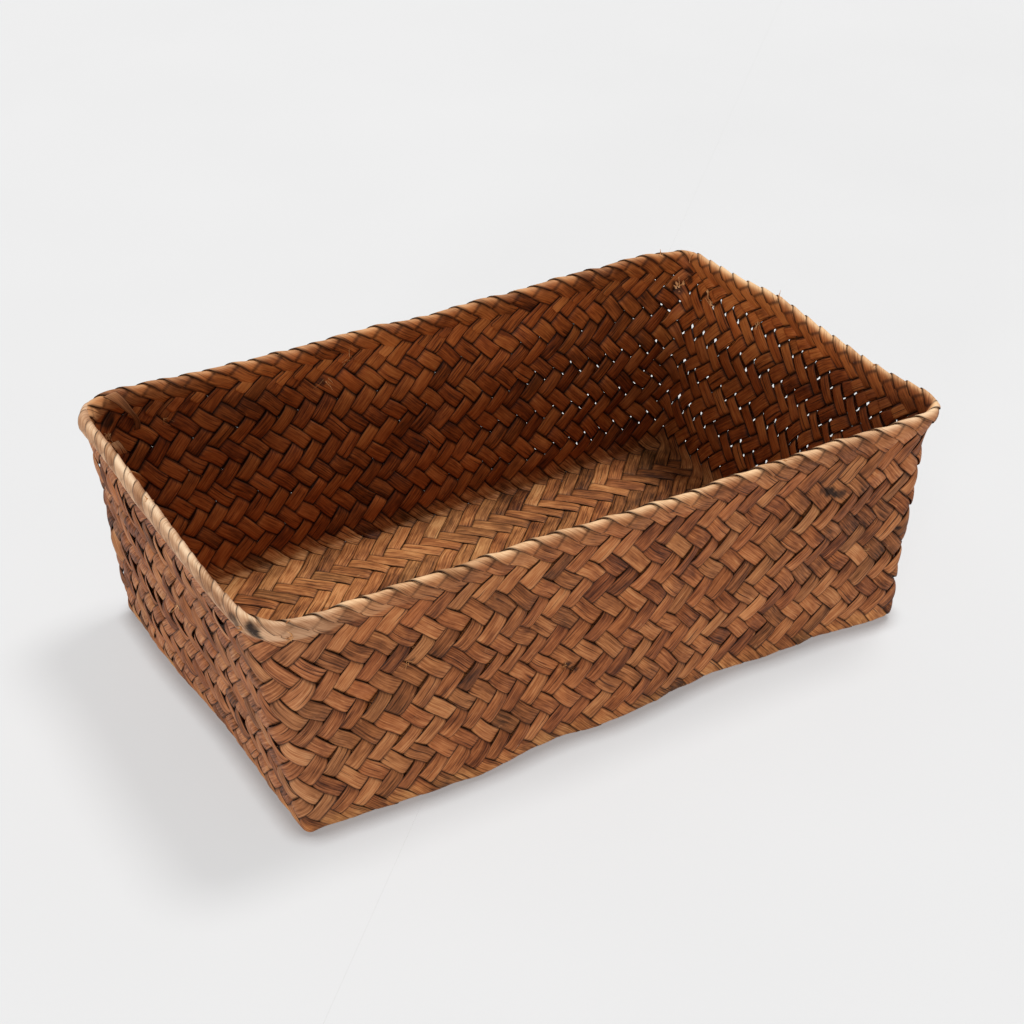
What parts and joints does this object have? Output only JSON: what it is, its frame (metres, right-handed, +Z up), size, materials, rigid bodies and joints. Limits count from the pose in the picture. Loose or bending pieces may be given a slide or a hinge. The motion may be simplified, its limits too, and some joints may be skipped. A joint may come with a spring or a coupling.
{
  "type": "bread basket",
  "caption": "Rectangular open basket plaited on the bias from flat seagrass strips, with flared walls and a folded rim over a stiff hoop.",
  "frame": {"origin": "bottom centre of the bounding box, in the plane that the basket rests on", "axes": "+X along the length, towards the right-hand end of the long front wall; +Y towards the back wall; +Z up"},
  "size_m": [0.3, 0.183, 0.0963],
  "materials": {
    "seagrass": "dried leaf, satin, fibres along the strip",
    "seagrass_rim": "dried leaf, satin, paler where it is folded",
    "cane": "bare round cane"
  },
  "bodies": {
    "root": {"seagrass_band_falling_01": "seagrass", "seagrass_band_falling_02": "seagrass", "seagrass_band_falling_03": "seagrass", "seagrass_band_falling_04": "seagrass", "seagrass_band_falling_05": "seagrass", "seagrass_band_falling_06": "seagrass", "seagrass_band_falling_07": "seagrass", "seagrass_band_falling_08": "seagrass", "seagrass_band_falling_09": "seagrass", "seagrass_band_falling_10": "seagrass", "seagrass_band_falling_11": "seagrass", "seagrass_band_falling_12": "seagrass", "seagrass_band_falling_13": "seagrass", "seagrass_band_falling_14": "seagrass", "seagrass_band_falling_15": "seagrass", "seagrass_band_falling_16": "seagrass", "seagrass_band_rising_01": "seagrass", "seagrass_band_rising_02": "seagrass", "seagrass_band_rising_03": "seagrass", "seagrass_band_rising_04": "seagrass", "seagrass_band_rising_05": "seagrass", "seagrass_band_rising_06": "seagrass", "seagrass_band_rising_07": "seagrass", "seagrass_band_rising_08": "seagrass", "seagrass_band_rising_09": "seagrass", "seagrass_band_rising_10": "seagrass", "seagrass_band_rising_11": "seagrass", "seagrass_band_rising_12": "seagrass", "seagrass_band_rising_13": "seagrass", "seagrass_band_rising_14": "seagrass", "seagrass_band_rising_15": "seagrass", "seagrass_band_rising_16": "seagrass", "rim_fold_front": "seagrass_rim", "rim_fold_right": "seagrass_rim", "rim_fold_back": "seagrass_rim", "rim_fold_left": "seagrass_rim", "rim_fold_front_left_corner": "seagrass_rim", "rim_fold_front_right_corner": "seagrass_rim", "rim_fold_back_right_corner": "seagrass_rim", "rim_fold_back_left_corner": "seagrass_rim", "rim_core": "cane"}
  },
  "joints": []
}
